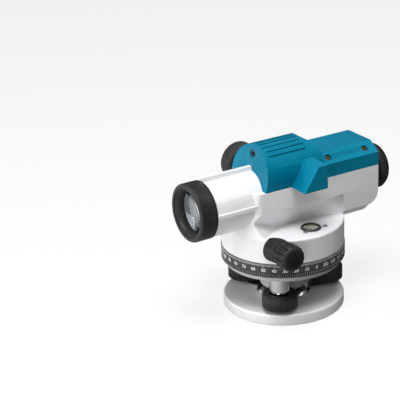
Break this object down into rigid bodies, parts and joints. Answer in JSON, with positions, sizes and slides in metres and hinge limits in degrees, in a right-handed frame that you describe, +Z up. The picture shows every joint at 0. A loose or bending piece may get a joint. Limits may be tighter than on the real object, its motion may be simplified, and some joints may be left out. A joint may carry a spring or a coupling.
{
  "type": "automatic level",
  "caption": "Optical surveying level: telescope with focusing knob, circular bubble and compensator, turning on a graduated circle above three foot screws.",
  "frame": {"origin": "Centre of the base plate's flat underside, at the mouth of the tripod thread.", "axes": "+Z up along the vertical axis, out of the tripod thread's top; -Z out of the thread's mouth. +Y along the line of sight from the objective (-Y) to the eyepiece (+Y). +X towards the side that carries the circular bubble; the focusing knob is on -X."},
  "size_m": [0.146, 0.215, 0.1625],
  "materials": {
    "cover_blue": "semi-gloss petrol-blue moulded plastic",
    "body_silver": "satin silver-white paint on cast aluminium",
    "base_grey": "satin silver paint, machined edge",
    "dark_casting": "satin grey paint",
    "black_knob": "satin black moulded plastic",
    "black_metal": "black anodised, satin",
    "circle_black": "gloss black with white graduations and figures",
    "bright_steel": "polished",
    "plain_steel": "turned",
    "screw_steel": "blackened",
    "brass": "turned",
    "lens_glass": "coated optical glass",
    "vial_glass": "liquid-filled vial, pale yellow-green",
    "eye_rubber": "soft matt"
  },
  "bodies": {
    "base": {"base_plate": "base_grey", "spring_plate": "plain_steel", "clamp_disc": "bright_steel", "clamp_screw_1": "screw_steel", "clamp_screw_2": "screw_steel", "clamp_screw_3": "screw_steel"},
    "tribrach": {"tribrach": "dark_casting", "foot_bush_1": "bright_steel", "foot_bush_2": "bright_steel", "foot_bush_3": "bright_steel", "axis_sleeve": "brass", "foot_ball_2": "plain_steel", "foot_ball_3": "plain_steel"},
    "foot_a_ball": {"foot_ball_1": "plain_steel"},
    "foot_a": {"foot_spindle_1": "plain_steel", "foot_knob_1": "black_knob"},
    "foot_b": {"foot_spindle_2": "plain_steel", "foot_knob_2": "black_knob"},
    "foot_c": {"foot_spindle_3": "plain_steel", "foot_knob_3": "black_knob"},
    "circle": {"horizontal_circle": "circle_black"},
    "alidade": {"housing": "body_silver", "bottom_cover": "dark_casting", "vertical_spindle": "plain_steel", "spindle_nut": "plain_steel", "top_cover": "cover_blue", "cover_screw_1": "screw_steel", "cover_screw_2": "screw_steel", "cover_screw_3": "screw_steel", "cover_screw_4": "screw_steel", "objective_ring": "black_metal", "objective_cell": "black_metal", "objective_crown": "lens_glass", "objective_flint": "lens_glass", "eyepiece_block": "black_metal", "reticle": "lens_glass", "bubble_ring": "black_metal", "bubble_vial": "vial_glass", "bubble_screw_1": "bright_steel", "bubble_screw_2": "bright_steel", "bubble_prism": "lens_glass", "peep_tube": "black_metal", "comp_frame": "dark_casting", "comp_prism": "lens_glass", "drive_collar_right": "black_knob", "drive_collar_left": "black_knob"},
    "focus_control": {"focus_knob": "black_knob", "focus_pinion": "plain_steel"},
    "focus_slider": {"focus_cell": "black_metal", "focus_lens": "lens_glass"},
    "dioptre": {"dioptre_ring": "black_knob", "eye_cup": "eye_rubber"},
    "eye": {"eye_cell": "black_metal", "eye_lens": "lens_glass"},
    "pendulum_body": {"pendulum": "brass", "pendulum_prism": "lens_glass"},
    "drive": {"drive_shaft": "plain_steel", "drive_knob_right": "black_knob", "drive_knob_left": "black_knob"},
    "wheel": {"drive_wheel": "brass"}
  },
  "joints": [
    {"name": "tilt", "type": "hinge", "parent": "base", "child": "tribrach", "pos_m": [-0.01732, 0.01373, 0.0063], "axis": [-0.6211, -0.7837, 0], "range_deg": [-1.55, 1.55]},
    {"name": "foot_a_rise", "type": "slide", "parent": "tribrach", "child": "foot_a_ball", "axis": [0, 0, 1], "range_m": [-0.0018, 0.0018]},
    {"name": "foot_a_turn", "type": "hinge", "parent": "foot_a_ball", "child": "foot_a", "pos_m": [0.03464, -0.02746, 0.02], "axis": [0, 0, 1], "range_deg": [-625, 625]},
    {"name": "foot_b_turn", "type": "hinge", "parent": "tribrach", "child": "foot_b", "pos_m": [0.00646, 0.04373, 0.02], "axis": [0, 0, 1], "range_deg": [-625, 625]},
    {"name": "foot_c_turn", "type": "hinge", "parent": "tribrach", "child": "foot_c", "pos_m": [-0.0411, -0.01627, 0.02], "axis": [0, 0, 1], "range_deg": [-625, 625]},
    {"name": "circle_turn", "type": "hinge", "parent": "tribrach", "child": "circle", "pos_m": [0, 0, 0.055], "axis": [0, 0, 1], "continuous": true},
    {"name": "alidade_turn", "type": "hinge", "parent": "tribrach", "child": "alidade", "pos_m": [0, 0, 0.06], "axis": [0, 0, 1], "continuous": true},
    {"name": "focus_turn", "type": "hinge", "parent": "alidade", "child": "focus_control", "pos_m": [-0.03, -0.0182, 0.1312], "axis": [1, 0, 0], "range_deg": [-171.8, 171.8]},
    {"name": "focus_travel", "type": "slide", "parent": "alidade", "child": "focus_slider", "axis": [0, 1, 0], "range_m": [-0.0091, 0.0091]},
    {"name": "dioptre_turn", "type": "hinge", "parent": "alidade", "child": "dioptre", "pos_m": [0, 0.1, 0.113], "axis": [0, 1, 0], "range_deg": [-140, 140]},
    {"name": "eye_travel", "type": "slide", "parent": "alidade", "child": "eye", "axis": [0, 1, 0], "range_m": [-0.0012, 0.0012]},
    {"name": "pendulum_swing", "type": "hinge", "parent": "alidade", "child": "pendulum_body", "pos_m": [0, 0.038, 0.1225], "axis": [1, 0, 0], "range_deg": [-1, 1]},
    {"name": "drive_turn", "type": "hinge", "parent": "alidade", "child": "drive", "pos_m": [0, -0.036, 0.0764], "axis": [1, 0, 0], "continuous": true},
    {"name": "wheel_turn", "type": "hinge", "parent": "alidade", "child": "wheel", "pos_m": [0, 0, 0.0764], "axis": [0, 0, 1], "continuous": true}
  ],
  "couplings": [
    {"joint": "tilt", "follows": "foot_a_turn", "ratio": -0.0024005},
    {"joint": "foot_a_rise", "follows": "foot_a_turn", "m_per_rad": 0.00015915},
    {"joint": "focus_travel", "follows": "focus_turn", "m_per_rad": 0.003},
    {"joint": "eye_travel", "follows": "dioptre_turn", "m_per_rad": 0.00047746},
    {"joint": "wheel_turn", "follows": "drive_turn", "ratio": 0.0125}
  ]
}
